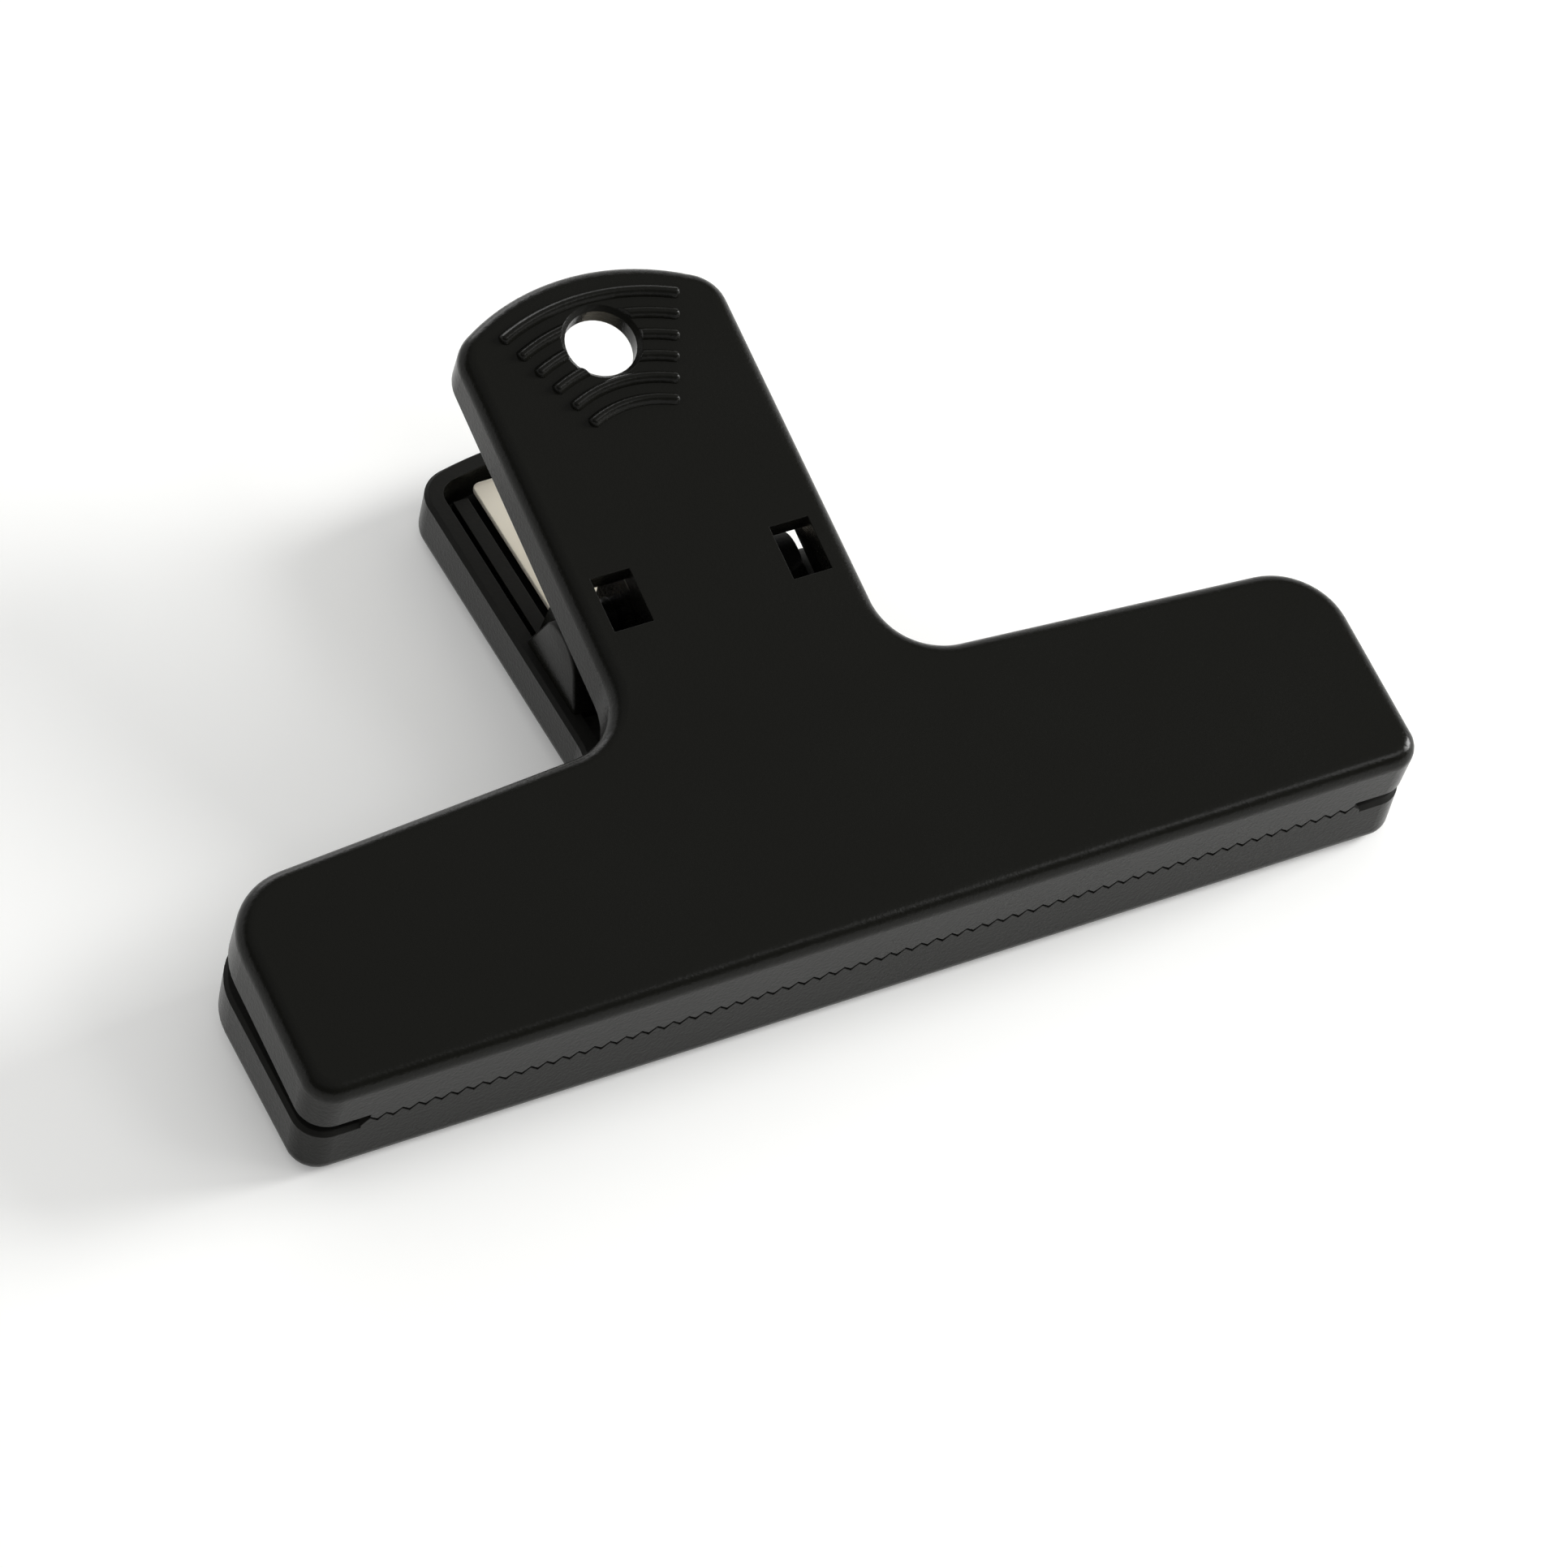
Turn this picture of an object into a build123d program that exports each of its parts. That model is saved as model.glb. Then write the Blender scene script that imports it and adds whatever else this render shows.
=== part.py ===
"""Bulldog clip: two T-shaped moulded shells, hinged on stub pins and held shut by a leaf spring.

Frame: X runs along the jaws, Y from the mouth to the handle ends, Z up.  The origin lies on
the table, under the middle of the clip's length.  The lower half stands on its front edge and
its handle end.
Each half is drawn in its own plane: local x along the jaw, local y from the mouth towards the
handle, local z inwards from the outer face.
"""

import os
from collections import Counter
from math import asin, atan2, cos, degrees, radians, sin, tan

from build123d import *

# Plan of a half, in mm
jaw_width = 102.0
jaw_depth_end = 20.5  # mouth to the back edge of a wing, at its outer end
jaw_depth_root = 23.3  # the same beside the handle
upper_handle_width = 24.8
lower_handle_width = 26.1
upper_length = 64.5  # mouth to the top of the upper handle's crowned end
upper_crown_radius = 21.0
lower_length = 62.2  # the same for the lower handle, which is shorter and flatter
lower_crown_radius = 45.0
front_corner_radius = 2.6
wing_corner_radius = 6.4
handle_root_radius = 6.0
handle_corner_radius = 3.6

# Section of a half
half_depth = 5.5  # outer face to rim along the jaw
upper_end_depth = 4.3  # outer face to rim at the end of the upper handle
lower_end_depth = 5.6  # the same on the lower handle
plate_wall = 2.0
skirt_wall = 1.6
outer_edge_radius = 1.4
rim_chamfer = 0.35
bend_position = 24.0  # mouth to the line where the handle turns outwards
bend_angle = 5.5
bend_radius = 40.0

# Closed jaws
jaw_wedge = 5.2  # angle between the two jaw plates
tooth_pitch = 1.42
tooth_height = 0.65
tooth_count = 65
tooth_clearance = 0.25  # tooth tip to the bottom of the facing gap

# Handle of the upper half
hole_to_end = 6.9  # centre of the hanging hole to the top of the handle's end
hole_diameter = 6.2
hole_chamfer = 0.4
ridge_count = 6
ridge_pitch = 2.06
ridge_width = 1.0
ridge_height = 0.35
ridge_flank = 65.0  # slope of a ridge's sides
ridge_inner_radius = 9.3
ridge_to_hole = 15.4  # common centre of the ridges to the centre of the hanging hole
ridge_half_angle = 24.0
ridge_hole_margin = 0.5
window_length = 5.1
window_width = 3.6
window_position = 34.7  # mouth to the middle of the two square windows
window_spacing = 16.6

# Hinge
axis_position = 36.8  # mouth to the hinge axis, along the lower half
axis_height = 9.6  # outer face of the lower handle to the hinge axis
pin_diameter = 3.4
pin_clearance = 0.05  # radial, in the socket
pin_end_gap = 0.2
ear_radius = 2.9
ear_gap = 0.3  # ear to the inside of the upper skirt
ear_thickness = 2.4
ear_skin = 0.5  # wall left behind the blind socket
ear_root_front = 3.6  # ear root at the floor, ahead of the axis
ear_root_back = 5.2  # ear root at the floor, behind the axis
lug_gap = 1.7  # lug to ear, along the pin
lug_thickness = 1.5
lug_radius = 2.7
lug_root_front = 4.5  # lug root at the plate, ahead of the axis
lug_root_back = 4.5  # lug root at the plate, behind the axis

# Spring, the two ribs it lies on and the two guide ribs beside it
rib_spacing = 10.0
rib_thickness = 1.4
rib_height = 1.7
rib_start = 43.5  # mouth to the front end of a rib
guide_thickness = 1.4
guide_height = 4.6  # outer face to the top of a guide rib
guide_to_end = 4.7  # end of a guide rib to the top of the lower handle's end
spring_thickness = 0.6
spring_side_gap = 1.1  # strip to each guide rib
spring_to_end = 3.1  # end of the lower leg to the top of the lower handle's end
spring_hole_gap = 1.0  # end of the upper leg to the edge of the hanging hole
spring_bend = 33.6  # mouth to the centre of the bend
spring_bend_radius = 4.0  # middle of the strip
spring_waist_gap = 0.3  # strip to each lug
spring_waist_end = 42.5  # mouth to where the strip widens behind the lugs
waist_corner_radius = 1.5
spring_tip_gap = 0.05

# Small overlaps that make fused features one solid
embed = 0.4


def half_plane(origin, slope, upper):
    """Plane of a half's jaw: x along the jaw, y up the slope to the handle, z inwards."""
    side = -1 if upper else 1
    rise = radians(slope)
    return Plane(
        origin=origin,
        x_dir=(side, 0, 0),
        z_dir=(0, -side * sin(rise), side * cos(rise)),
    )


def handle_plane(jaw):
    """Plane of a half's handle, turned outwards at the bend line."""
    turn = radians(bend_angle)
    return Plane(
        origin=jaw.from_local_coords((0, bend_position, 0)),
        x_dir=jaw.x_dir,
        z_dir=jaw.z_dir * cos(turn) + jaw.y_dir * sin(turn),
    )


def side_plane(plane, offset=0.0):
    """Plane across a half: its x is the half's y, and its y points inwards."""
    origin = plane.origin + plane.x_dir * offset
    return Plane(origin=origin, x_dir=plane.y_dir, z_dir=plane.x_dir)


# Places along the handles, from the mouth
hole_position = upper_length - hole_to_end
ridge_centre = hole_position - ridge_to_hole
spring_end = lower_length - spring_to_end
guide_end = lower_length - guide_to_end
spring_upper_end = hole_position - hole_diameter / 2 - spring_hole_gap

# Places across the handles, from the centre line
ear_outer = upper_handle_width / 2 - skirt_wall - ear_gap
lug_outer = ear_outer - ear_thickness - lug_gap
spring_width = 2 * (ear_outer - guide_thickness - spring_side_gap)

# Where the halves stand: the lower one rests on its front edge and its handle end.
lower_slope = bend_angle * (lower_length - bend_position) / lower_length
lower_handle_slope = lower_slope - bend_angle
upper_slope = lower_slope + jaw_wedge
mouth_gap = tooth_height + tooth_clearance

# How far the upper front edge stands out over the lower one, because both jaws lean forwards
mouth_turn = radians(lower_slope + jaw_wedge / 2)
upper_turn = radians(upper_slope)
upper_lean = (
    half_depth * sin(radians(lower_slope))
    + mouth_gap * sin(mouth_turn)
    + half_depth * sin(upper_turn)
)
front_lean = upper_lean - outer_edge_radius * sin(upper_turn)
rear_reach = upper_length * cos(upper_turn) - upper_lean
lower_front = Vector(0, -(rear_reach - front_lean) / 2, 0)
lower_jaw = half_plane(lower_front, lower_slope, upper=False)
lower_handle = handle_plane(lower_jaw)

lower_rim_front = lower_jaw.from_local_coords((0, 0, half_depth))
upper_front = (
    lower_rim_front
    + Vector(0, -sin(mouth_turn), cos(mouth_turn)) * mouth_gap
    - Vector(0, sin(upper_turn), -cos(upper_turn)) * half_depth
)
upper_jaw = half_plane(upper_front, upper_slope, upper=True)
upper_handle = handle_plane(upper_jaw)

hinge_axis = lower_handle.from_local_coords((0, axis_position - bend_position, axis_height))
lower_axis = lower_handle.to_local_coords(hinge_axis)
upper_axis = upper_handle.to_local_coords(hinge_axis)


def plan_sketch(plane, length, handle_width, crown_radius, inset=0.0):
    """T-shaped plan of a half, drawn inset from its outer wall."""
    half_jaw = jaw_width / 2
    half_handle = handle_width / 2
    crown_drop = crown_radius - (crown_radius**2 - half_handle**2) ** 0.5
    shoulder = length - crown_drop
    rounded = (
        (half_jaw, 0, front_corner_radius),
        (half_jaw, jaw_depth_end, wing_corner_radius),
        (half_handle, jaw_depth_root, handle_root_radius),
        (half_handle, shoulder, handle_corner_radius),
    )
    with BuildSketch(plane) as plan:
        with BuildLine():
            Polyline((0, 0), *[(x, y) for x, y, _ in rounded])
            RadiusArc((half_handle, shoulder), (0, length), -crown_radius)
            mirror(about=Plane.YZ)
        make_face()
        for x, y, radius in rounded:
            for side in (-1, 1):
                fillet(plan.vertices().sort_by_distance((side * x, y, 0))[0], radius=radius)
        if inset:
            offset(amount=-inset, mode=Mode.REPLACE)
    return plan.sketch


def section_sketch(jaw, near, rim_front, rim_end, margin):
    """Side view of a half: a strip from depth near to the rim, bent at the handle."""
    end = upper_length + margin
    end_drop = (end - bend_position) * tan(radians(bend_angle))
    with BuildSketch(side_plane(jaw)) as section:
        with BuildLine():
            face = FilletPolyline(
                (-margin, near), (bend_position, near), (end, near - end_drop), radius=bend_radius
            )
            rim = FilletPolyline(
                (-margin, rim_front),
                (bend_position, rim_front),
                (end, rim_end - end_drop),
                radius=bend_radius,
            )
            Line(face @ 0, rim @ 0)
            Line(face @ 1, rim @ 1)
        make_face()
    return section.sketch


def border_edges(faces, direction):
    """Edges around the faces that look along a direction, without the seams between them."""
    looking = faces.filter_by(lambda f: f.normal_at().dot(direction) > 0.9)
    uses = Counter(edge for face in looking for edge in face.edges())
    return [edge for edge, count in uses.items() if count == 1]


def moulded_shell(jaw, length, handle_width, crown_radius, rim_end):
    """A half's hollow T: plate and skirt, with the outer edge rounded all the way round."""
    margin = 2.0
    reach = jaw_width / 2 + margin
    clear = half_depth + 3 * margin
    with BuildPart() as hollow:
        extrude(section_sketch(jaw, plate_wall, clear, clear, margin), amount=reach, both=True)
        inside = plan_sketch(jaw, length, handle_width, crown_radius, inset=skirt_wall)
        extrude(inside, amount=3 * clear, both=True, mode=Mode.INTERSECT)
    with BuildPart() as shell:
        extrude(section_sketch(jaw, 0, half_depth, rim_end, margin), amount=reach, both=True)
        outside = plan_sketch(jaw, length, handle_width, crown_radius)
        extrude(outside, amount=3 * clear, both=True, mode=Mode.INTERSECT)
        fillet(border_edges(shell.faces(), -jaw.z_dir), radius=outer_edge_radius)
        chamfer(border_edges(shell.faces(), jaw.z_dir), length=rim_chamfer)
        add(hollow.part, mode=Mode.SUBTRACT)
    return shell.part


def teeth_sketch(jaw, count):
    """Row of pointed teeth standing on the front rim, centred on the jaw."""
    start = -count * tooth_pitch / 2
    root = half_depth - embed
    points = []
    for i in range(count):
        points.append((start + i * tooth_pitch, half_depth))
        points.append((start + (i + 0.5) * tooth_pitch, half_depth + tooth_height))
    points += [(-start, half_depth), (-start, root), (start, root)]
    with BuildSketch(Plane(origin=jaw.origin, x_dir=jaw.x_dir, z_dir=-jaw.y_dir)) as teeth:
        with BuildLine():
            Polyline(*points, close=True)
        make_face()
    return teeth.sketch


def tab_sketch(plane, axis, radius, front, back):
    """Side view of an ear or a lug: a round end on the hinge axis, on a root at the plate."""
    with BuildSketch(plane) as tab:
        with Locations((axis.Y, axis.Z)):
            Circle(radius)
        with BuildLine():
            Polyline(
                (axis.Y - radius, axis.Z),
                (axis.Y - front, plate_wall - embed),
                (axis.Y + back, plate_wall - embed),
                (axis.Y + radius, axis.Z),
                close=True,
            )
        make_face()
    return tab.sketch


def disc_sketch(plane, axis, radius):
    """Round section of a stub pin or its socket, on the hinge axis."""
    with BuildSketch(plane) as disc:
        with Locations((axis.Y, axis.Z)):
            Circle(radius)
    return disc.sketch


# Lower half: shell, teeth, the ribs under the spring, and the hinge ears with their blind sockets,
# from which the guide ribs run back beside the spring
with BuildPart() as lower_half:
    add(
        moulded_shell(
            lower_jaw, lower_length, lower_handle_width, lower_crown_radius, lower_end_depth
        )
    )
    extrude(teeth_sketch(lower_jaw, tooth_count), amount=-skirt_wall)
    with BuildSketch(lower_handle.offset(plate_wall - embed)):
        with Locations((0, (rib_start + spring_end) / 2 - bend_position)):
            with GridLocations(rib_spacing, 0, 2, 1):
                Rectangle(rib_thickness, spring_end - rib_start)
    extrude(amount=rib_height + embed)
    with BuildSketch(lower_handle.offset(plate_wall - embed)):
        with Locations((0, (axis_position + guide_end) / 2 - bend_position)):
            with GridLocations(2 * ear_outer - guide_thickness, 0, 2, 1):
                Rectangle(guide_thickness, guide_end - axis_position)
    extrude(amount=guide_height - plate_wall + embed)
    for side in (-1, 1):
        ear_plane = side_plane(lower_handle, side * (ear_outer - ear_thickness))
        ear = tab_sketch(ear_plane, lower_axis, ear_radius, ear_root_front, ear_root_back)
        socket = disc_sketch(ear_plane, lower_axis, pin_diameter / 2 + pin_clearance)
        extrude(ear, amount=side * ear_thickness)
        extrude(socket, amount=side * (ear_thickness - ear_skin), mode=Mode.SUBTRACT)

# Grip ridges of the upper handle: arcs about one centre, kept clear of the hanging hole
ridge_origin = upper_handle.from_local_coords((0, ridge_centre - bend_position, 0))
with BuildSketch(side_plane(upper_handle)) as ridge_profiles:
    for i in range(ridge_count):
        radius = ridge_inner_radius + i * ridge_pitch
        with Locations((ridge_centre - bend_position + radius, (embed - ridge_height) / 2)):
            Trapezoid(ridge_width, ridge_height + embed, ridge_flank, rotation=180)
with BuildPart() as ridges:
    for side in (-1, 1):
        ridge_axis = Axis(ridge_origin, upper_handle.z_dir * side)
        revolve(ridge_profiles.sketch, ridge_axis, revolution_arc=ridge_half_angle)
    with BuildSketch(upper_handle):
        with Locations((0, hole_position - bend_position)):
            Circle(hole_diameter / 2 + ridge_hole_margin)
    extrude(amount=plate_wall, both=True, mode=Mode.SUBTRACT)

# Upper half: shell, teeth, grip ridges, hanging hole, windows, and lugs with stub pins
with BuildPart() as upper_half:
    add(
        moulded_shell(
            upper_jaw, upper_length, upper_handle_width, upper_crown_radius, upper_end_depth
        )
    )
    extrude(teeth_sketch(upper_jaw, tooth_count - 1), amount=-skirt_wall)
    add(ridges.part)
    with BuildSketch(upper_handle):
        with Locations((0, hole_position - bend_position)):
            Circle(hole_diameter / 2)
    extrude(amount=2 * plate_wall, both=True, mode=Mode.SUBTRACT)
    hole_centre = upper_handle.from_local_coords((0, hole_position - bend_position, 0))
    hole_edge = upper_half.edges().filter_by(GeomType.CIRCLE).sort_by_distance(hole_centre)[0]
    chamfer(hole_edge, length=hole_chamfer)
    with BuildSketch(upper_handle):
        with Locations((0, window_position - bend_position)):
            with GridLocations(window_spacing, 0, 2, 1):
                Rectangle(window_width, window_length)
    extrude(amount=2 * plate_wall, both=True, mode=Mode.SUBTRACT)
    for side in (-1, 1):
        lug_plane = side_plane(upper_handle, side * (lug_outer - lug_thickness))
        lug = tab_sketch(lug_plane, upper_axis, lug_radius, lug_root_front, lug_root_back)
        pin = disc_sketch(lug_plane, upper_axis, pin_diameter / 2)
        pin_reach = ear_outer - ear_skin - pin_end_gap - lug_outer + lug_thickness
        extrude(lug, amount=side * lug_thickness)
        extrude(pin, amount=side * pin_reach)

# Leaf spring: a strip bent into a hairpin, with a waist that passes between the lugs
tip = upper_handle.from_local_coords(
    (0, spring_upper_end - bend_position, plate_wall + spring_tip_gap + spring_thickness / 2)
)
tip_local = lower_handle.to_local_coords(tip)
leg_height = plate_wall + rib_height + spring_thickness / 2
bend_centre = Vector(spring_bend - bend_position, leg_height + spring_bend_radius)
tip_offset = Vector(tip_local.Y, tip_local.Z) - bend_centre
leg_slope = degrees(atan2(tip_offset.Y, tip_offset.X) - asin(spring_bend_radius / tip_offset.length))
waist_half = lug_outer - lug_thickness - spring_waist_gap
with BuildPart() as leaf_spring:
    with BuildSketch(side_plane(lower_handle)):
        with BuildLine():
            bend = CenterArc(bend_centre, spring_bend_radius, 270, leg_slope - 180)
            Line((spring_end - bend_position, leg_height), bend @ 0)
            Line(bend @ 1, (tip_local.Y, tip_local.Z))
        trace(line_width=spring_thickness)
    extrude(amount=spring_width / 2, both=True)
    with BuildSketch(lower_handle):
        notch_front = spring_bend - 2 * spring_bend_radius
        notch_length = spring_waist_end - notch_front
        with Locations((0, (spring_waist_end + notch_front) / 2 - bend_position)):
            with GridLocations(spring_width, 0, 2, 1):
                RectangleRounded(spring_width - 2 * waist_half, notch_length, waist_corner_radius)
    extrude(amount=tip_local.Z, mode=Mode.SUBTRACT)

os.makedirs("parts", exist_ok=True)
pieces = {"lower_half": lower_half, "upper_half": upper_half, "leaf_spring": leaf_spring}
for name, piece in pieces.items():
    piece.part.label = name
    export_step(piece.part, f"parts/{name}.step")
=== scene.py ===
"""Bulldog clip: finish of its moulded halves, grip ridges, hinge cheeks, leaf spring and stage.

All sizes are in metres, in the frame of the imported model: X along the jaws, Y from the mouth to
the handle ends, Z up from the table.
"""

import math

import bpy
import numpy as np
from mathutils import Matrix, Vector


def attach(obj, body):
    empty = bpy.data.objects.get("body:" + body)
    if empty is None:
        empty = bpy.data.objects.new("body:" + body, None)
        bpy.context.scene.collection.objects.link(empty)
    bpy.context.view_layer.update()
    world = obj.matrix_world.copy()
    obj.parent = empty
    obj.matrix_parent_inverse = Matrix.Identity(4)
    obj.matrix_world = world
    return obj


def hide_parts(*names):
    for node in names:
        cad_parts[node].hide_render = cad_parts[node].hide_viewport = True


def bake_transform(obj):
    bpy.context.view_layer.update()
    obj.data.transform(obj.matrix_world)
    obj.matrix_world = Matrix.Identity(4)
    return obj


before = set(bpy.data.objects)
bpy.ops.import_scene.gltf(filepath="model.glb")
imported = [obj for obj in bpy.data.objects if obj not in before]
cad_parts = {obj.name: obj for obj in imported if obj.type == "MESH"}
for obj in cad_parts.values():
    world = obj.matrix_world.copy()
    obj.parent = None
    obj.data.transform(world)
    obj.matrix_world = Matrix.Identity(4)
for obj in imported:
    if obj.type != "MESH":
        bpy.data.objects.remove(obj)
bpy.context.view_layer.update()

bl_info = {
    "name": "Bulldog Clip",
    "version": (1, 0, 0),
    "blender": (4, 5, 0),
    "location": "View3D > Sidebar > Clip",
    "description": "Finishes the halves, builds the ridges, cheeks and spring, sets the stage",
    "category": "Object",
}

MM = 0.001

# Each handle's outer face: its y and z at the bend line, and its slope
LOWER_FACE = (-6.7972 * MM, 1.4141 * MM, math.radians(-2.1222))
UPPER_FACE = (-8.2621 * MM, 15.4037 * MM, math.radians(14.0778))

# Faces of a new piece that meet at more than this keep a sharp edge between them
CREASE = math.radians(35)
RIDGE_CREASE = math.radians(50)

# The plastic's sheen: width of its slow patches, and what they and the grain add to the roughness
PATCH_WIDTH = 14 * MM
PATCH_SPREAD = 0.04
GRAIN_SPREAD = 0.12

# The strip's rolling lines, in its map's millimetres: their distance, and width over length
LINE_PITCH = 0.25
LINE_STRETCH = 0.04

RIDGE_SINK = 0.1 * MM  # how far a ridge reaches under the handle's face
STATION_GAP = 1 * MM  # between a leg's even stations and the crowded ones beside them

TABLE_HALF_SIZE = 3.0
TABLE_GLOW = 0.16  # light that the table adds where it is seen, so that it shows white
COVE_RISE = 0.5  # how fast the white cove climbs towards the back
DIFFUSE_LEVEL = 0.6  # the room's even light on matt surfaces
LAMP_DISTANCE = 0.7


def linear(hex_colour):
    """Linear red, green and blue of an sRGB hex colour such as "1b1b1a"."""
    srgb = np.array([int(hex_colour[i : i + 2], 16) for i in (0, 2, 4)]) / 255
    return tuple(np.where(srgb <= 0.04045, srgb / 12.92, ((srgb + 0.055) / 1.055) ** 2.4))


class PlasticSettings(bpy.types.PropertyGroup):
    """Finish of the two moulded halves."""

    colour: bpy.props.FloatVectorProperty(
        name="Colour", description="Black of the plastic", subtype="COLOR", size=3,
        min=0, max=1, default=linear("131310"),
    )
    grain: bpy.props.FloatProperty(
        name="Grain", description="Width of one grain of the moulded texture",
        unit="LENGTH", default=0.32 * MM,
    )
    roughness: bpy.props.FloatProperty(
        name="Roughness", description="Mean roughness of the textured face",
        subtype="FACTOR", min=0, max=1, default=0.19,
    )
    inner_roughness: bpy.props.FloatProperty(
        name="Inner Roughness", description="Roughness of the faces inside the shells",
        subtype="FACTOR", min=0, max=1, default=0.72,
    )
    edge_round: bpy.props.FloatProperty(
        name="Edge Round", description="Radius of the moulding's small edges",
        unit="LENGTH", default=0.12 * MM,
    )


class RidgeSettings(bpy.types.PropertyGroup):
    """The rounded grip ridges on the upper handle: arcs about one centre, clear of the hole."""

    count: bpy.props.IntProperty(name="Count", description="Number of ridges", default=6, min=1)
    centre: bpy.props.FloatProperty(
        name="Centre", description="Common centre of the arcs, along the handle from the bend line",
        unit="LENGTH", default=18.2 * MM,
    )
    inner_radius: bpy.props.FloatProperty(
        name="Inner Radius", description="Radius of the smallest arc",
        unit="LENGTH", default=9.3 * MM,
    )
    pitch: bpy.props.FloatProperty(
        name="Pitch", description="Distance between neighbouring arcs",
        unit="LENGTH", default=2.06 * MM,
    )
    half_angle: bpy.props.FloatProperty(
        name="Half Angle", description="Half the angle that an arc spans",
        subtype="ANGLE", default=math.radians(24),
    )
    half_width: bpy.props.FloatProperty(
        name="Half Width", description="Half the width of a ridge", unit="LENGTH", default=0.58 * MM
    )
    height: bpy.props.FloatProperty(
        name="Height", description="Height of a ridge over the handle's face",
        unit="LENGTH", default=0.53 * MM,
    )
    end_round: bpy.props.FloatProperty(
        name="End Round", description="Length of a ridge's rounded end",
        unit="LENGTH", default=0.4 * MM,
    )
    hole_place: bpy.props.FloatProperty(
        name="Hole Place", description="Centre of the hanging hole, along the handle",
        unit="LENGTH", default=33.6 * MM,
    )
    hole_clear: bpy.props.FloatProperty(
        name="Hole Clear", description="Radius about the hole that the ridges leave free",
        unit="LENGTH", default=3.54 * MM,
    )


class CheekSettings(bpy.types.PropertyGroup):
    """The lower half's hinge cheeks, which stand on its rims outside the ears."""

    inner_face: bpy.props.FloatProperty(
        name="Inner Face", description="Middle plane to the face against the ear",
        unit="LENGTH", default=10.45 * MM,
    )
    outer_face: bpy.props.FloatProperty(
        name="Outer Face", description="Middle plane to the face under the upper skirt",
        unit="LENGTH", default=12.1 * MM,
    )
    crown_place: bpy.props.FloatProperty(
        name="Crown Place", description="Centre of the crown, along the handle from the bend line",
        unit="LENGTH", default=10.9 * MM,
    )
    crown_height: bpy.props.FloatProperty(
        name="Crown Height", description="Centre of the crown over the handle's outer face",
        unit="LENGTH", default=8.6 * MM,
    )
    crown_radius: bpy.props.FloatProperty(
        name="Crown Radius", description="Radius of the crown", unit="LENGTH", default=3.1 * MM
    )
    front_foot: bpy.props.FloatProperty(
        name="Front Foot", description="Front of the cheek on the rim, along the handle",
        unit="LENGTH", default=7.1 * MM,
    )
    back_foot: bpy.props.FloatProperty(
        name="Back Foot", description="Back of the cheek on the rim, along the handle",
        unit="LENGTH", default=16.2 * MM,
    )
    foot_height: bpy.props.FloatProperty(
        name="Foot Height", description="The rim that carries the cheek, over the outer face",
        unit="LENGTH", default=5.45 * MM,
    )
    edge_round: bpy.props.FloatProperty(
        name="Edge Round", description="Radius of the outer face's edge",
        unit="LENGTH", default=0.35 * MM,
    )


class SpringSettings(bpy.types.PropertyGroup):
    """Path and section of the leaf spring, in the middle plane of the clip."""

    colour: bpy.props.FloatVectorProperty(
        name="Colour", description="Colour of the plated steel", subtype="COLOR", size=3,
        min=0, max=1, default=linear("faf3e2"),
    )
    thickness: bpy.props.FloatProperty(
        name="Thickness", description="Thickness of the strip", unit="LENGTH", default=0.6 * MM
    )
    half_width: bpy.props.FloatProperty(
        name="Half Width", description="Half the width of the strip along its legs",
        unit="LENGTH", default=8.0 * MM,
    )
    waist_half_width: bpy.props.FloatProperty(
        name="Waist Half Width", description="Half the width of the bend, between the lugs",
        unit="LENGTH", default=4.6 * MM,
    )
    waist_end: bpy.props.FloatProperty(
        name="Waist End", description="Where the strip widens behind the lugs, along the handle",
        unit="LENGTH", default=18.5 * MM,
    )
    waist_corner: bpy.props.FloatProperty(
        name="Waist Corner", description="Radius of the waist's inner corners",
        unit="LENGTH", default=1.5 * MM,
    )
    end_corner: bpy.props.FloatProperty(
        name="End Corner", description="Radius of the corners at the strip's two ends",
        unit="LENGTH", default=0.6 * MM,
    )
    edge_round: bpy.props.FloatProperty(
        name="Edge Round", description="Radius that tumbling leaves on the stamped edges",
        unit="LENGTH", default=0.12 * MM,
    )
    leg_height: bpy.props.FloatProperty(
        name="Leg Height", description="Middle of the lower leg over the handle's outer face",
        unit="LENGTH", default=4.0 * MM,
    )
    lower_end: bpy.props.FloatProperty(
        name="Lower End", description="End of the lower leg, along the handle from the bend line",
        unit="LENGTH", default=35.1 * MM,
    )
    bend_place: bpy.props.FloatProperty(
        name="Bend Place", description="Centre of the hairpin's bend, along the handle",
        unit="LENGTH", default=9.6 * MM,
    )
    bend_radius: bpy.props.FloatProperty(
        name="Bend Radius", description="Radius of the bend, at the middle of the strip",
        unit="LENGTH", default=4.0 * MM,
    )
    leg_angle: bpy.props.FloatProperty(
        name="Leg Angle", description="Angle between the two legs at rest",
        subtype="ANGLE", default=math.radians(23.4259),
    )
    upper_end: bpy.props.FloatProperty(
        name="Upper End", description="End of the upper leg, along the lower handle",
        unit="LENGTH", default=27.0024 * MM,
    )


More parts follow.
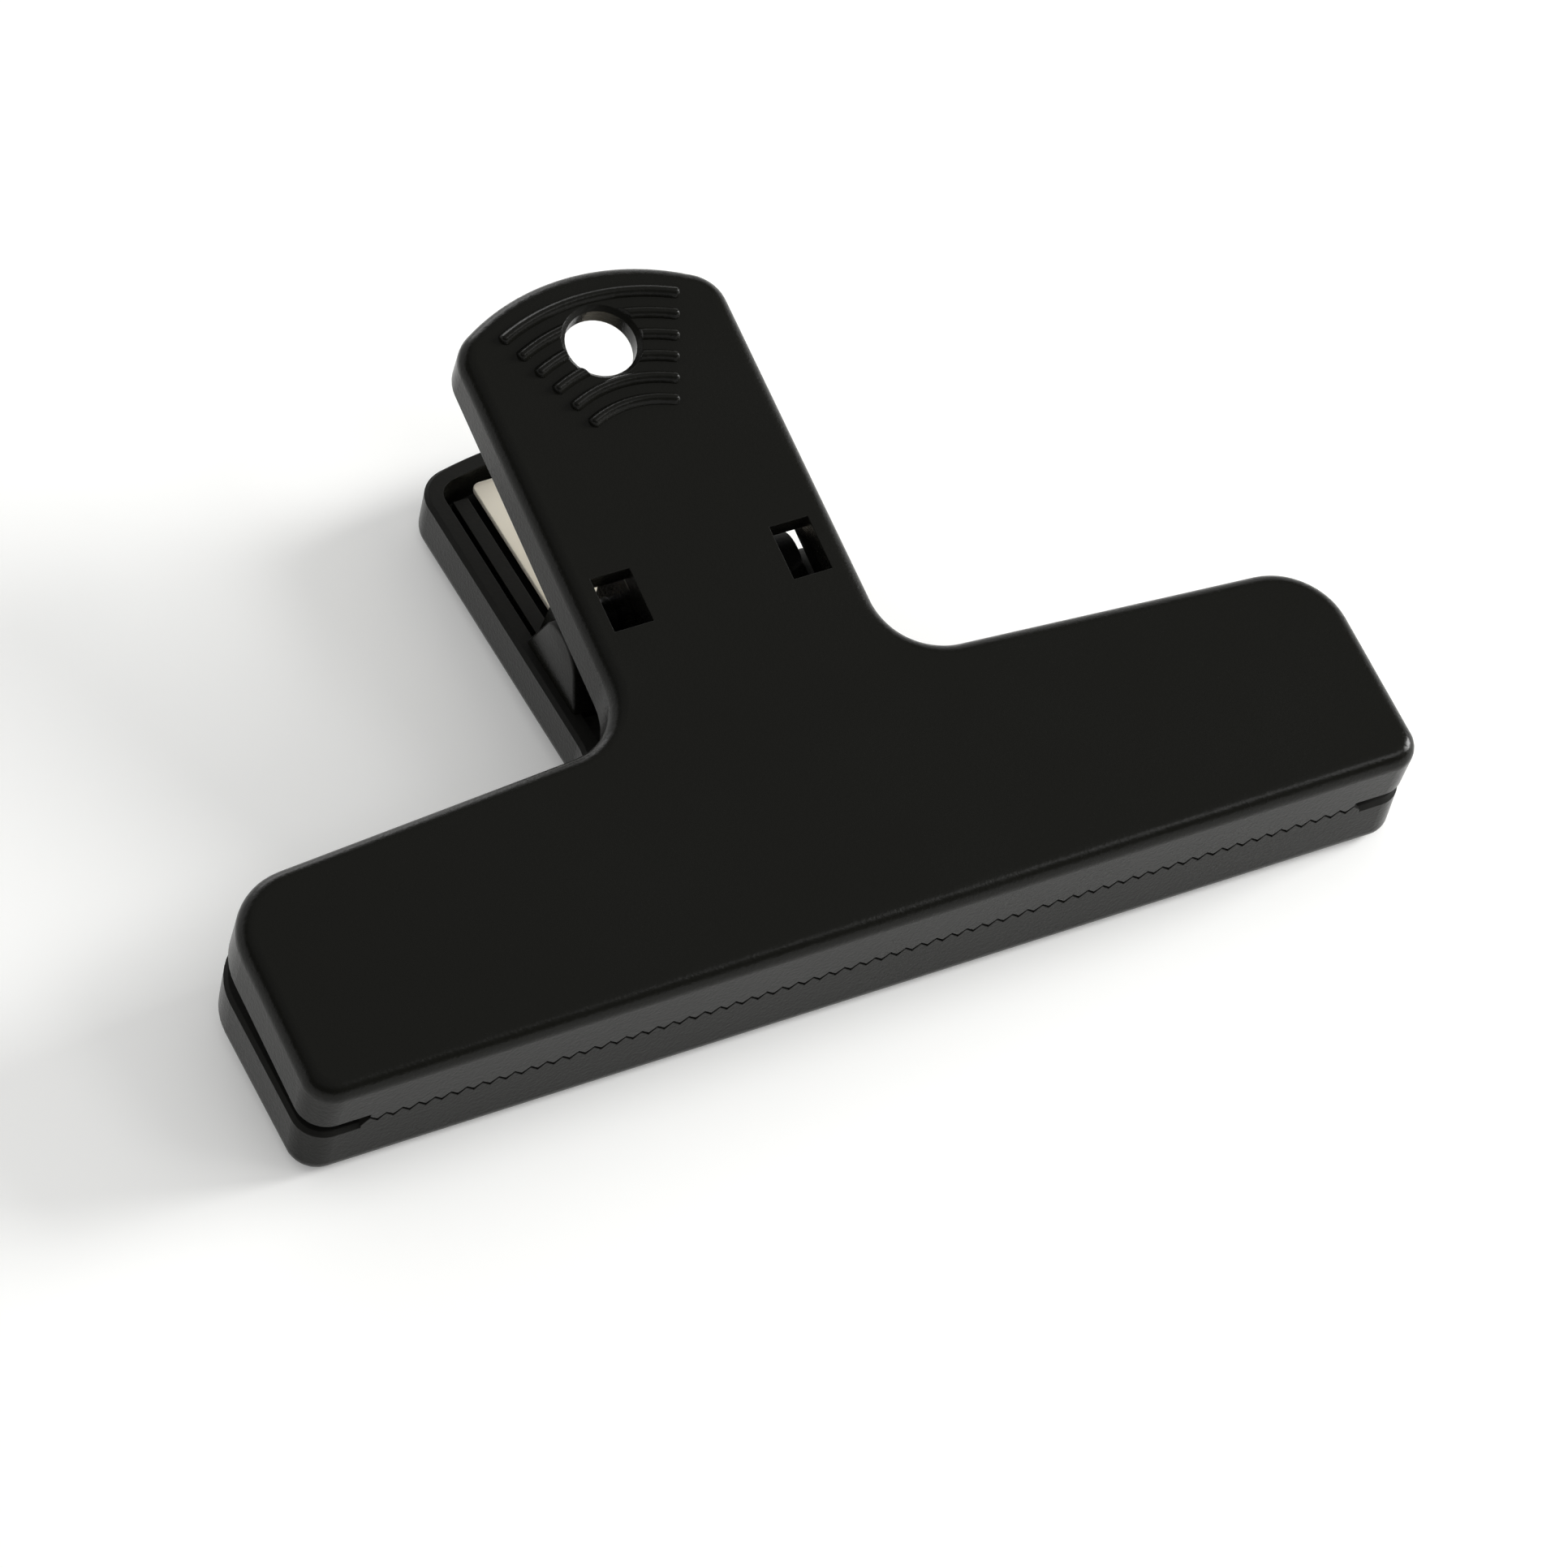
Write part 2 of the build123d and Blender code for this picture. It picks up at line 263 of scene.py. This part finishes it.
class StageSettings(bpy.types.PropertyGroup):
    """Camera and table."""

    camera_azimuth: bpy.props.FloatProperty(
        name="Azimuth", description="Side the camera stands on, from the mouth's front",
        subtype="ANGLE", default=math.radians(-35.800),
    )
    camera_elevation: bpy.props.FloatProperty(
        name="Elevation", description="Height of the camera's view over the table",
        subtype="ANGLE", default=math.radians(49.331),
    )
    camera_roll: bpy.props.FloatProperty(
        name="Roll", description="Turn of the camera about its own view",
        subtype="ANGLE", default=math.radians(11.688),
    )
    camera_distance: bpy.props.FloatProperty(
        name="Distance", description="Camera to the point it looks at",
        unit="LENGTH", default=665.26 * MM,
    )
    camera_target: bpy.props.FloatVectorProperty(
        name="Target", description="Point the camera looks at", subtype="XYZ", size=3,
        default=(-0.2 * MM, -14.112 * MM, 9.262 * MM),
    )
    lens: bpy.props.FloatProperty(
        name="Lens", description="Focal length on a 36 mm sensor", default=185.94
    )
    floor_colour: bpy.props.FloatVectorProperty(
        name="Floor", description="Colour of the table", subtype="COLOR", size=3,
        min=0, max=1, default=linear("f2f2f0"),
    )


def add_node(tree, kind, settings=None, **inputs):
    """Adds a node, sets its settings, and gives each named input a value or a socket's link.

    An underscore in an input's name stands for a space; a name such as _0 is the input's place.
    """
    node = tree.nodes.new(kind)
    for name, value in (settings or {}).items():
        setattr(node, name, value)
    for name, value in inputs.items():
        key = int(name[1:]) if name[0] == "_" else name.replace("_", " ")
        if isinstance(value, bpy.types.NodeSocket):
            tree.links.new(value, node.inputs[key])
        else:
            node.inputs[key].default_value = value
    return node


def new_material(name):
    """An empty node material, and its tree."""
    material = bpy.data.materials.new(name)
    material.use_nodes = True
    material.node_tree.nodes.clear()
    return material, material.node_tree


def moulded_plastic(settings, name, inward):
    """Black ABS, moulded in a spark-eroded tool: an even fine grain that breaks up its sheen.

    The tool's core is left duller than its cavity, so the plate's inner face, whose normal has
    the sign of inward along z, is rougher than the outside.
    """
    material, tree = new_material(name)
    coords = add_node(tree, "ShaderNodeTexCoord").outputs
    place = coords["Object"]
    # The real grain is near 0.1 mm; it is drawn about three times as coarse so that it shows.
    fine = add_node(
        tree, "ShaderNodeTexNoise",
        Vector=place, Scale=1 / settings.grain, Detail=3.0, Roughness=0.6,
    )
    # Slow patches, where the melt cooled unevenly against the tool
    patches = add_node(tree, "ShaderNodeTexNoise", Vector=place, Scale=1 / PATCH_WIDTH, Detail=2.0)
    spread = add_node(
        tree, "ShaderNodeMapRange", Value=patches.outputs["Fac"], From_Min=0.3, From_Max=0.7,
        To_Min=settings.roughness - PATCH_SPREAD, To_Max=settings.roughness + PATCH_SPREAD,
    )
    speck = add_node(
        tree, "ShaderNodeMath", {"operation": "MULTIPLY_ADD"},
        _0=fine.outputs["Fac"], _1=GRAIN_SPREAD, _2=spread.outputs["Result"],
    )
    facing = add_node(tree, "ShaderNodeSeparateXYZ", Vector=coords["Normal"]).outputs["Z"]
    inside = add_node(
        tree, "ShaderNodeMapRange", Value=facing, From_Min=0.3 * inward, From_Max=0.7 * inward
    )
    dull = add_node(
        tree, "ShaderNodeMix", Factor=inside.outputs["Result"],
        A=speck.outputs["Value"], B=settings.inner_roughness,
    )
    # Moulded edges are never quite sharp; the bevel rounds their shading.
    edges = add_node(tree, "ShaderNodeBevel", {"samples": 6}, Radius=settings.edge_round)
    bump = add_node(
        tree, "ShaderNodeBump", Height=fine.outputs["Fac"], Strength=0.34, Distance=0.08 * MM,
        Normal=edges.outputs["Normal"],
    )
    shader = add_node(
        tree, "ShaderNodeBsdfPrincipled", Base_Color=(*settings.colour, 1), IOR=1.53,
        Specular_IOR_Level=0.15, Roughness=dull.outputs["Result"], Normal=bump.outputs["Normal"],
    )
    add_node(tree, "ShaderNodeOutputMaterial", Surface=shader.outputs["BSDF"])
    return material


def plated_steel(settings):
    """Nickel-plated spring strip: a bright warm metal with faint rolling lines along its length."""
    material, tree = new_material("spring_steel_nickel_plated")
    along = add_node(tree, "ShaderNodeUVMap", {"uv_map": "strip"}).outputs["UV"]
    # The map is in millimetres across and along the strip.
    stretch = add_node(tree, "ShaderNodeMapping", Vector=along, Scale=(1.0, LINE_STRETCH, 1.0))
    lines = add_node(
        tree, "ShaderNodeTexNoise",
        Vector=stretch.outputs["Vector"], Scale=1 / LINE_PITCH, Detail=2.0,
    )
    sheen = add_node(
        tree, "ShaderNodeMapRange", Value=lines.outputs["Fac"], From_Min=0.3, From_Max=0.7,
        To_Min=0.42, To_Max=0.56,
    )
    bump = add_node(
        tree, "ShaderNodeBump", Height=lines.outputs["Fac"], Strength=0.15, Distance=0.03 * MM
    )
    shader = add_node(
        tree, "ShaderNodeBsdfPrincipled", Base_Color=(*settings.colour, 1), Metallic=0.15,
        Roughness=sheen.outputs["Result"], Normal=bump.outputs["Normal"],
    )
    add_node(tree, "ShaderNodeOutputMaterial", Surface=shader.outputs["BSDF"])
    return material


def handle_to_world(along, height, face=LOWER_FACE):
    """World y and z of points at a distance along a handle and a height over its outer face."""
    foot_y, foot_z, slope = face
    c, s = math.cos(slope), math.sin(slope)
    return foot_y + along * c - height * s, foot_z + along * s + height * c


def tube_faces(shape):
    """Indices of points that lie ring by ring, of that shape, and the quads between the rings.

    A quad is point k and then point k + 1 of one ring, and k + 1 and then k of the next.
    """
    index = np.arange(math.prod(shape)).reshape(shape)
    beside = np.roll(index, -1, axis=-1)
    quads = np.stack(
        (index[..., :-1, :], beside[..., :-1, :], beside[..., 1:, :], index[..., 1:, :]), axis=-1
    )
    return index, quads.reshape(-1, 4)


def new_piece(context, name, points, faces, crease, material):
    """A new object at the origin, with a smooth mesh that is creased at its sharp edges."""
    mesh = bpy.data.meshes.new(name)
    mesh.from_pydata(points.reshape(-1, 3), [], faces)
    mesh.shade_smooth()
    mesh.set_sharp_from_angle(angle=crease)
    mesh.materials.append(material)
    piece = bpy.data.objects.new(name, mesh)
    context.scene.collection.objects.link(piece)
    return piece


class CLIP_OT_halves(bpy.types.Operator):
    """Give both moulded halves their grained black plastic"""

    bl_idname = "clip.halves"
    bl_label = "Finish Moulded Halves"

    def execute(self, context):
        for node, name, inward in (
            ("lower_half", "abs_moulded_black_lower", 1),
            ("upper_half", "abs_moulded_black_upper", -1),
        ):
            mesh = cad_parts[node].data
            mesh.materials.clear()
            mesh.materials.append(moulded_plastic(context.scene.clip_plastic, name, inward))
        return {"FINISHED"}


def ridge_stations(ridge):
    """Sides, radii, runs, added lengths and section scales of the stations, a row for each ridge.

    A ridge that the hole cuts is two, one on each side of it.  A free end is rounded: at t from 0
    to 85 degrees the arc is end_round sin t longer and its section cos t as large.
    """
    end_steps, middle_steps = 7, 22
    radii = ridge.inner_radius + ridge.pitch * np.arange(ridge.count)
    cut = np.abs(radii - ridge.hole_place + ridge.centre) < ridge.hole_clear
    radius = np.concatenate((radii[~cut], radii[cut], radii[cut]))[:, None]
    side = np.repeat([0, -1, 1], (np.count_nonzero(~cut), cut.sum(), cut.sum()))[:, None]
    first = np.radians(np.linspace(85, 0, end_steps))
    last = first[::-1]
    middle = np.broadcast_to(np.linspace(0.06, 0.94, middle_steps), (radius.size, middle_steps))
    run = np.hstack((
        np.where(side > 0, np.linspace(0, 0.05, end_steps), 0), middle,
        np.where(side < 0, np.linspace(0.95, 1, end_steps), 1),
    ))
    longer = ridge.end_round * np.hstack((
        np.where(side > 0, 0, -np.sin(first)), 0 * middle, np.where(side < 0, 0, np.sin(last))
    ))
    scale = np.hstack((
        np.where(side > 0, 1, np.cos(first)), 0 * middle + 1, np.where(side < 0, 1, np.cos(last))
    ))
    return side[..., None], radius[..., None], run[..., None], longer[..., None], scale[..., None]


def ridge_points(ridge):
    """Points of the ridges' closed sections: a parabola h (1 - (u / w)^2) on the handle's face.

    A point at radius r meets the free circle (radius c) about the hole, whose centre is D from the
    arcs' own, at the angle acos((r^2 + D^2 - c^2) / 2rD); a cut ridge ends there.  A whole one
    that passes close by is kept outside the circle.
    """
    side, radius, run, longer, scale = ridge_stations(ridge)
    across = np.linspace(1, -1, 17)
    offset = ridge.half_width * np.concatenate((across, [-1, 1]))
    lift = ridge.height * (1 - (offset / ridge.half_width) ** 2)
    sink = np.where(np.arange(offset.size) < across.size, 0, -RIDGE_SINK)
    hole, clear = ridge.hole_place - ridge.centre, ridge.hole_clear
    reach = radius + scale * offset
    outside = np.where(
        radius < hole, np.minimum(reach, hole - clear), np.maximum(reach, hole + clear)
    )
    reach = np.where(side == 0, outside, reach)
    cosine = (reach**2 + hole**2 - clear**2) / (2 * reach * hole)
    gap = np.arccos(np.clip(cosine, -1, 1))
    start = np.where(side > 0, gap, -ridge.half_angle)
    end = np.where(side < 0, -gap, ridge.half_angle)
    angle = start + (end - start) * run + longer / radius
    along = ridge.centre + reach * np.cos(angle)
    y, z = handle_to_world(along, scale * lift + sink, UPPER_FACE)
    return np.stack((reach * np.sin(angle), y, z), axis=-1)


class CLIP_OT_grip_ridges(bpy.types.Operator):
    """Build the rounded grip ridges, which cover the plain ones of the upper half"""

    bl_idname = "clip.grip_ridges"
    bl_label = "Build Grip Ridges"

    def execute(self, context):
        points = ridge_points(context.scene.clip_ridge)
        index, quads = tube_faces(points.shape[:3])
        faces = [*quads.tolist(), *index[:, 0, ::-1].tolist(), *index[:, -1].tolist()]
        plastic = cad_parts["upper_half"].data.materials[0]
        piece = new_piece(context, "grip_ridges", points, faces, RIDGE_CREASE, plastic)
        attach(piece, "upper")
        return {"FINISHED"}


def cheek_outline(cheek, inset):
    """Lengths and heights round a cheek, for a column of insets: a crown arc between two flanks.

    The flank from a foot P touches the crown (centre C, radius r) at the angle of P - C plus or
    minus acos(r / |P - C|).  An inset d gives the arc the radius r - d and slides the foot along
    the rim by d / cos(angle), which keeps the flank parallel.
    """
    drop = cheek.foot_height - cheek.crown_height
    feet = np.array([cheek.back_foot, cheek.front_foot])
    lean = np.arccos(cheek.crown_radius / np.hypot(feet - cheek.crown_place, drop))
    touch = np.arctan2(drop, feet - cheek.crown_place) % (2 * np.pi) + lean * [1, -1]
    start, end = touch - [2 * np.pi, 0]
    angle = np.linspace(start, end, 25)
    radius = cheek.crown_radius - inset
    along = np.hstack((
        feet[0] - inset / math.cos(start),
        cheek.crown_place + radius * np.cos(angle),
        feet[1] - inset / math.cos(end),
    ))
    foot = np.full_like(inset, cheek.foot_height)
    return along, np.hstack((foot, cheek.crown_height + radius * np.sin(angle), foot))


class CLIP_OT_hinge_cheeks(bpy.types.Operator):
    """Build the two cheeks that stand on the lower rims and cover the hinge from outside"""

    bl_idname = "clip.hinge_cheeks"
    bl_label = "Build Hinge Cheeks"

    def execute(self, context):
        cheek = context.scene.clip_cheek
        # Rings from the inner face to the outer one, the last five round its edge
        turn = np.linspace(0, np.pi / 2, 5)[:, None]
        inset = np.vstack(([[0.0]], cheek.edge_round * (1 - np.cos(turn))))
        out = np.vstack((
            [[cheek.inner_face]], cheek.outer_face - cheek.edge_round * (1 - np.sin(turn))
        ))
        along, height = cheek_outline(cheek, inset)
        y, z = handle_to_world(along, height)
        index, quads = tube_faces(along.shape)
        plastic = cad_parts["lower_half"].data.materials[0]
        for name, side in (("hinge_cheek_left", -1), ("hinge_cheek_right", 1)):
            points = np.stack((np.broadcast_to(side * out, y.shape), y, z), axis=-1)
            faces = [
                *quads[:, ::side].tolist(), index[0, ::-side].tolist(), index[-1, ::side].tolist()
            ]
            piece = new_piece(context, name, points, faces, CREASE, plastic)
            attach(piece, "lower")
        return {"FINISHED"}


def spring_path(spring):
    """Middle line of the hairpin in the lower handle's lengths and heights, with its directions.

    The lower leg runs forwards at a constant height.  The bend is an arc about (place, height +
    radius) from 270 degrees back to 90 degrees plus the leg angle.  The upper leg leaves it
    straight, at the leg angle.  Stations crowd together at the ends and where the waist widens.
    """
    gap = STATION_GAP
    leg_steps, waist_steps, bend_steps = 8, 6, 40
    corner = spring.end_corner * (1 - np.cos(np.linspace(0, np.pi / 2, 7)))
    waist = spring.waist_end + np.concatenate((
        np.linspace(-spring.waist_corner, -0.05 * MM, 8),
        spring.end_corner * (1 - np.cos(np.linspace(0, np.pi / 2, 5))),
    ))
    lower = np.concatenate((
        spring.lower_end - corner,
        np.linspace(spring.lower_end - 2 * gap, waist[-1] + gap, leg_steps),
        waist[::-1],
        np.linspace(waist[0] - gap, spring.bend_place, waist_steps),
    ))
    turn = np.linspace(1.5 * np.pi, np.pi / 2 + spring.leg_angle, bend_steps)[1:]
    centre = spring.leg_height + spring.bend_radius
    arc_along = spring.bend_place + spring.bend_radius * np.cos(turn)
    arc_height = centre + spring.bend_radius * np.sin(turn)
    reach = spring.upper_end - corner[::-1] * math.cos(spring.leg_angle)
    upper = np.concatenate((
        np.linspace(arc_along[-1] + gap, waist[0] - gap, waist_steps),
        waist,
        np.linspace(waist[-1] + gap, reach[0] - gap, leg_steps),
        reach,
    ))
    along = np.concatenate((lower, arc_along, upper))
    height = np.concatenate((
        np.full(lower.size, spring.leg_height), arc_height,
        arc_height[-1] + (upper - arc_along[-1]) * math.tan(spring.leg_angle),
    ))
    heading = np.concatenate((
        np.full(lower.size, np.pi), turn - np.pi / 2, np.full(upper.size, spring.leg_angle)
    ))
    return along, height, heading


def strip_half_width(spring, along, run):
    """Half width of the strip at its stations.

    Ahead of the waist's end it is the waist's half width, with a quarter circle in the inner
    corner: waist + r - sqrt(r^2 - d^2).  Behind it and at both ends the full half width is
    rounded by width - r + sqrt(r^2 - (r - d)^2), where d is the distance from the edge.
    """
    r = spring.end_corner
    edge = np.minimum(np.minimum(run, run[-1] - run), np.abs(along - spring.waist_end))
    inset = np.clip(r - edge, 0, r)
    full = spring.half_width - r + np.sqrt(r**2 - inset**2)
    c = spring.waist_corner
    rise = np.clip(along - spring.waist_end + c, 0, c)
    waist = spring.waist_half_width + c - np.sqrt(c**2 - rise**2)
    return np.where(along < spring.waist_end, waist, full)


def rounded_section(half_width, half_thickness, radius):
    """Closed outline of the strip at every station: a rectangle with quarter-round edges.

    Point k of corner (sx, sy) lies at (sx (w - r) + r cos a, sy (t - r) + r sin a).
    """
    quarter = np.array([0, 45, 90])
    angles = np.radians(quarter + 90 * np.arange(4)[:, None]).ravel()
    side_x = np.repeat([1, -1, -1, 1], quarter.size)
    side_y = np.repeat([1, 1, -1, -1], quarter.size)
    across = side_x * (half_width[:, None] - radius) + radius * np.cos(angles)
    lift = side_y * (half_thickness - radius) + radius * np.sin(angles)
    return across, np.broadcast_to(lift, across.shape)


class CLIP_OT_leaf_spring(bpy.types.Operator):
    """Build the hairpin leaf spring, as one rigid strip in its rest shape"""

    bl_idname = "clip.leaf_spring"
    bl_label = "Build Leaf Spring"

    def execute(self, context):
        spring = context.scene.clip_spring
        along, height, heading = spring_path(spring)
        run = np.concatenate(([0], np.cumsum(np.hypot(np.diff(along), np.diff(height)))))
        half_width = strip_half_width(spring, along, run)
        across, lift = rounded_section(half_width, spring.thickness / 2, spring.edge_round)
        # The section stands square to the path, its thickness along the path's normal.
        y, z = handle_to_world(
            along[:, None] - lift * np.sin(heading)[:, None],
            height[:, None] + lift * np.cos(heading)[:, None],
        )
        points = np.stack((across, y, z), axis=-1)
        index, quads = tube_faces(across.shape)
        # The outline turns the other way round the path, so every quad is turned over.
        faces = [*quads[:, [0, 3, 2, 1]].tolist(), index[0].tolist(), index[-1, ::-1].tolist()]
        strip = new_piece(
            context, "leaf_spring_strip", points, faces, CREASE, plated_steel(spring)
        )
        self.map_strip(strip.data, across, run)
        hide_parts("leaf_spring")
        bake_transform(strip)
        return {"FINISHED"}

    def map_strip(self, mesh, across, run):
        """UV map of the strip laid flat: millimetres across it and along it."""
        flat = np.stack((across, np.broadcast_to(run[:, None], across.shape)), axis=-1) / MM
        corners = np.empty(len(mesh.loops), dtype=np.int32)
        mesh.loops.foreach_get("vertex_index", corners)
        layer = mesh.uv_layers.new(name="strip")
        layer.uv.foreach_set("vector", flat.reshape(-1, 2)[corners].ravel())


class CLIP_OT_stage(bpy.types.Operator):
    """Set the table, the studio light and the camera"""

    bl_idname = "clip.stage"
    bl_label = "Set Stage"

    def execute(self, context):
        stage = context.scene.clip_stage
        self.set_camera(context, stage)
        self.set_floor(context, stage)
        self.set_room(context)
        self.add_lamp(context, "key", (0.92, -0.12, 0.38), size=0.3, energy=5.3)
        self.add_lamp(context, "back", (0.1, 0.95, 0.27), size=0.3, energy=0.6)
        self.add_lamp(context, "front", (0.52, -0.45, 0.73), size=0.2, energy=0.4)
        context.scene.view_settings.view_transform = "Standard"
        return {"FINISHED"}

    def set_camera(self, context, stage):
        """Camera on a sphere about its target: azimuth, elevation, then a roll about its view."""
        azimuth, elevation = stage.camera_azimuth, stage.camera_elevation
        back = Vector((
            math.sin(azimuth) * math.cos(elevation),
            -math.cos(azimuth) * math.cos(elevation),
            math.sin(elevation),
        ))
        data = bpy.data.cameras.new("camera")
        data.sensor_width = 36
        data.lens = stage.lens
        data.clip_start = 0.01
        camera = bpy.data.objects.new("camera", data)
        place = Matrix.Translation(Vector(stage.camera_target) + back * stage.camera_distance)
        turn = (-back).to_track_quat("-Z", "Y").to_matrix().to_4x4()
        camera.matrix_world = place @ turn @ Matrix.Rotation(stage.camera_roll, 4, "Z")
        context.scene.collection.objects.link(camera)
        context.scene.camera = camera

    def set_floor(self, context, stage):
        """A square table with its top at z = 0, white to the eye and with the clip's shadow."""
        half = TABLE_HALF_SIZE
        corners = [(-half, -half, 0), (half, -half, 0), (half, half, 0), (-half, half, 0)]
        mesh = bpy.data.meshes.new("table")
        mesh.from_pydata(corners, [], [(0, 1, 2, 3)])
        floor = bpy.data.objects.new("table", mesh)
        context.scene.collection.objects.link(floor)
        material, tree = new_material("table_white")
        rays = add_node(tree, "ShaderNodeLightPath").outputs
        seen = add_node(
            tree, "ShaderNodeMath", {"operation": "MAXIMUM"},
            _0=rays["Is Camera Ray"], _1=rays["Is Glossy Ray"],
        )
        seen = add_node(
            tree, "ShaderNodeMath", {"operation": "MAXIMUM"},
            _0=seen.outputs["Value"], _1=rays["Is Transmission Ray"],
        )
        lift = add_node(
            tree, "ShaderNodeMath", {"operation": "MULTIPLY"},
            _0=seen.outputs["Value"], _1=TABLE_GLOW,
        )
        matt = add_node(tree, "ShaderNodeBsdfDiffuse", Color=(*stage.floor_colour, 1))
        glow = add_node(
            tree, "ShaderNodeEmission", Color=(1, 1, 1, 1), Strength=lift.outputs["Value"]
        )
        both = add_node(
            tree, "ShaderNodeAddShader", _0=matt.outputs["BSDF"], _1=glow.outputs["Emission"]
        )
        add_node(tree, "ShaderNodeOutputMaterial", Surface=both.outputs["Shader"])
        mesh.materials.append(material)

    def set_room(self, context):
        """A white cove that rises behind the clip, a dark wall over it and a pale ceiling."""
        world = bpy.data.worlds.new("studio")
        world.use_nodes = True
        tree = world.node_tree
        tree.nodes.clear()
        direction = add_node(tree, "ShaderNodeTexCoord").outputs["Generated"]
        split = add_node(tree, "ShaderNodeSeparateXYZ", Vector=direction).outputs
        height = split["Z"]
        rise = add_node(
            tree, "ShaderNodeMath", {"operation": "MULTIPLY", "use_clamp": True},
            _0=split["Y"], _1=COVE_RISE,
        )
        over = add_node(
            tree, "ShaderNodeMath", {"operation": "SUBTRACT"}, _0=height, _1=rise.outputs["Value"]
        )
        cove = add_node(
            tree, "ShaderNodeMapRange", {"interpolation_type": "SMOOTHSTEP"},
            Value=over.outputs["Value"], From_Min=0.1, From_Max=0.24, To_Min=1.0, To_Max=0.04,
        )
        ceiling = add_node(
            tree, "ShaderNodeMapRange", {"interpolation_type": "SMOOTHSTEP"},
            Value=height, From_Min=0.6, From_Max=0.9, To_Min=0.0, To_Max=0.3,
        )
        room = add_node(
            tree, "ShaderNodeMath", {"operation": "ADD"},
            _0=cove.outputs["Result"], _1=ceiling.outputs["Result"],
        )
        rays = add_node(tree, "ShaderNodeLightPath").outputs
        level = add_node(
            tree, "ShaderNodeMix",
            Factor=rays["Is Diffuse Ray"], A=room.outputs["Value"], B=DIFFUSE_LEVEL,
        )
        back = add_node(
            tree, "ShaderNodeBackground", Color=(1, 1, 1, 1), Strength=level.outputs["Result"]
        )
        add_node(tree, "ShaderNodeOutputWorld", Surface=back.outputs["Background"])
        context.scene.world = world

    def add_lamp(self, context, name, direction, size, energy):
        """A round soft lamp in a direction from the clip, facing it."""
        data = bpy.data.lights.new(name, "AREA")
        data.shape = "DISK"
        data.size = size
        data.energy = energy
        lamp = bpy.data.objects.new(name, data)
        towards = Vector(direction).normalized()
        lamp.location = towards * LAMP_DISTANCE
        lamp.rotation_mode = "QUATERNION"
        lamp.rotation_quaternion = (-towards).to_track_quat("-Z", "Y")
        context.scene.collection.objects.link(lamp)


class CLIP_PT_panel(bpy.types.Panel):
    """Sidebar panel with the clip's pieces and their sizes"""

    bl_idname = "CLIP_PT_panel"
    bl_label = "Bulldog Clip"
    bl_space_type = "VIEW_3D"
    bl_region_type = "UI"
    bl_category = "Clip"

    def draw(self, context):
        groups = (
            (context.scene.clip_plastic, "clip.halves"),
            (context.scene.clip_ridge, "clip.grip_ridges"),
            (context.scene.clip_cheek, "clip.hinge_cheeks"),
            (context.scene.clip_spring, "clip.leaf_spring"),
            (context.scene.clip_stage, "clip.stage"),
        )
        for settings, operator in groups:
            box = self.layout.box()
            for name in settings.__annotations__:
                box.prop(settings, name)
            box.operator(operator)


SETTINGS = {
    "clip_plastic": PlasticSettings,
    "clip_ridge": RidgeSettings,
    "clip_cheek": CheekSettings,
    "clip_spring": SpringSettings,
    "clip_stage": StageSettings,
}
CLASSES = (
    *SETTINGS.values(), CLIP_OT_halves, CLIP_OT_grip_ridges, CLIP_OT_hinge_cheeks,
    CLIP_OT_leaf_spring, CLIP_OT_stage, CLIP_PT_panel,
)


def register():
    for cls in CLASSES:
        bpy.utils.register_class(cls)
    for name, group in SETTINGS.items():
        setattr(bpy.types.Scene, name, bpy.props.PointerProperty(type=group))


def unregister():
    for name in SETTINGS:
        delattr(bpy.types.Scene, name)
    for cls in reversed(CLASSES):
        bpy.utils.unregister_class(cls)


def main():
    register()
    bpy.ops.clip.halves()
    bpy.ops.clip.grip_ridges()
    bpy.ops.clip.hinge_cheeks()
    bpy.ops.clip.leaf_spring()
    bpy.ops.clip.stage()


if __name__ == "__main__":
    main()
